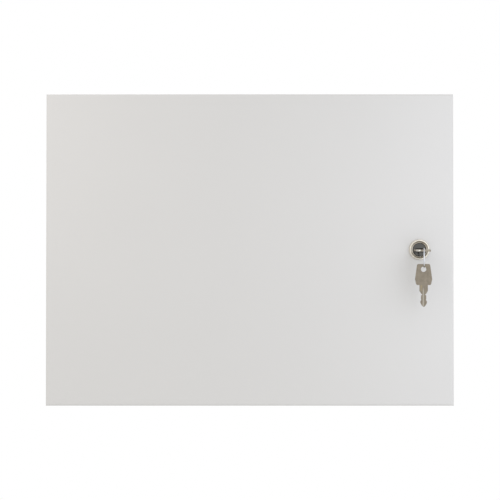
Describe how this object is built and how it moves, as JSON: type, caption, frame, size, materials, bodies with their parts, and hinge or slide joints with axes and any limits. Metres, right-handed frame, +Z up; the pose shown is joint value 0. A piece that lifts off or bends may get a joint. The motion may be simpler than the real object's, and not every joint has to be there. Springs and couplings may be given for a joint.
{
  "type": "steel wall enclosure",
  "caption": "Sheet-steel wall cabinet with a plain hinged pan door, a keyed quarter-turn cam lock, a sealed rain channel and an inner mounting plate.",
  "frame": {"origin": "centre of the four wall fixing holes, on the back face of the case", "axes": "+Z up, +X to the right as one faces the door, +Y into the wall, so the door faces -Y"},
  "size_m": [0.425, 0.15, 0.325],
  "materials": {
    "powder_coat": "pale warm-grey powder coat, semi-matt",
    "zinc_plate": "bright zinc plating",
    "zinc_fastener": "zinc-plated fasteners",
    "gland_rubber": "flat black rubber",
    "seal_foam": "foamed polyurethane seal",
    "nickel_bezel": "satin nickel",
    "dark_chrome": "dark bright chrome",
    "wafer_brass": "plain brass",
    "nickel_silver": "worn nickel-plated brass",
    "ring_steel": "bright spring wire"
  },
  "bodies": {
    "case": {"case_shell": "powder_coat", "mounting_plate": "zinc_plate", "plate_studs": "zinc_fastener", "plate_washers": "zinc_fastener", "plate_nuts": "zinc_fastener", "gland_plate": "powder_coat", "gland_gasket": "gland_rubber", "gland_studs": "zinc_fastener", "gland_nuts": "zinc_fastener", "earth_stud": "zinc_fastener", "earth_washer": "zinc_fastener", "earth_nut": "zinc_fastener", "upper_hinge_bracket": "zinc_plate", "lower_hinge_bracket": "zinc_plate", "hinge_screws": "zinc_fastener", "upper_hinge_pin": "zinc_fastener", "lower_hinge_pin": "zinc_fastener"},
    "door": {"door_panel": "powder_coat", "door_gasket": "seal_foam", "upper_hinge_leaf": "powder_coat", "lower_hinge_leaf": "powder_coat", "door_earth_stud": "zinc_fastener", "door_earth_washer": "zinc_fastener", "door_earth_nut": "zinc_fastener", "lock_barrel": "nickel_bezel", "lock_washer": "zinc_fastener", "lock_nut": "nickel_bezel"},
    "lock_core": {"lock_plug": "dark_chrome", "lock_wafers": "wafer_brass", "stop_washer": "zinc_fastener", "lock_cam": "zinc_plate", "cam_washer": "zinc_fastener", "cam_screw": "zinc_fastener"},
    "key": {"lock_key": "nickel_silver"},
    "ring": {"key_ring": "ring_steel"},
    "hanging_key": {"spare_key": "nickel_silver"}
  },
  "joints": [
    {"name": "door_hinge", "type": "hinge", "parent": "case", "child": "door", "pos_m": [-0.2045, -0.102, 0], "axis": [0, 0, -1], "range_deg": [0, 110]},
    {"name": "plug_turn", "type": "hinge", "parent": "door", "child": "lock_core", "pos_m": [0.1765, -0.11, 0], "axis": [0, -1, 0], "range_deg": [0, 90]},
    {"name": "key_pull", "type": "slide", "parent": "lock_core", "child": "key", "axis": [0, -1, 0], "range_m": [0, 0.02]},
    {"name": "ring_swing", "type": "hinge", "parent": "key", "child": "ring", "pos_m": [0.1777, -0.13691, 0.00026], "axis": [0.1426, 0.9898, 0], "range_deg": [-20, 20]},
    {"name": "spare_key_swing", "type": "hinge", "parent": "ring", "child": "hanging_key", "pos_m": [0.17726, -0.13992, -0.01845], "axis": [0.1426, 0.9898, 0], "range_deg": [-45, 45]}
  ]
}
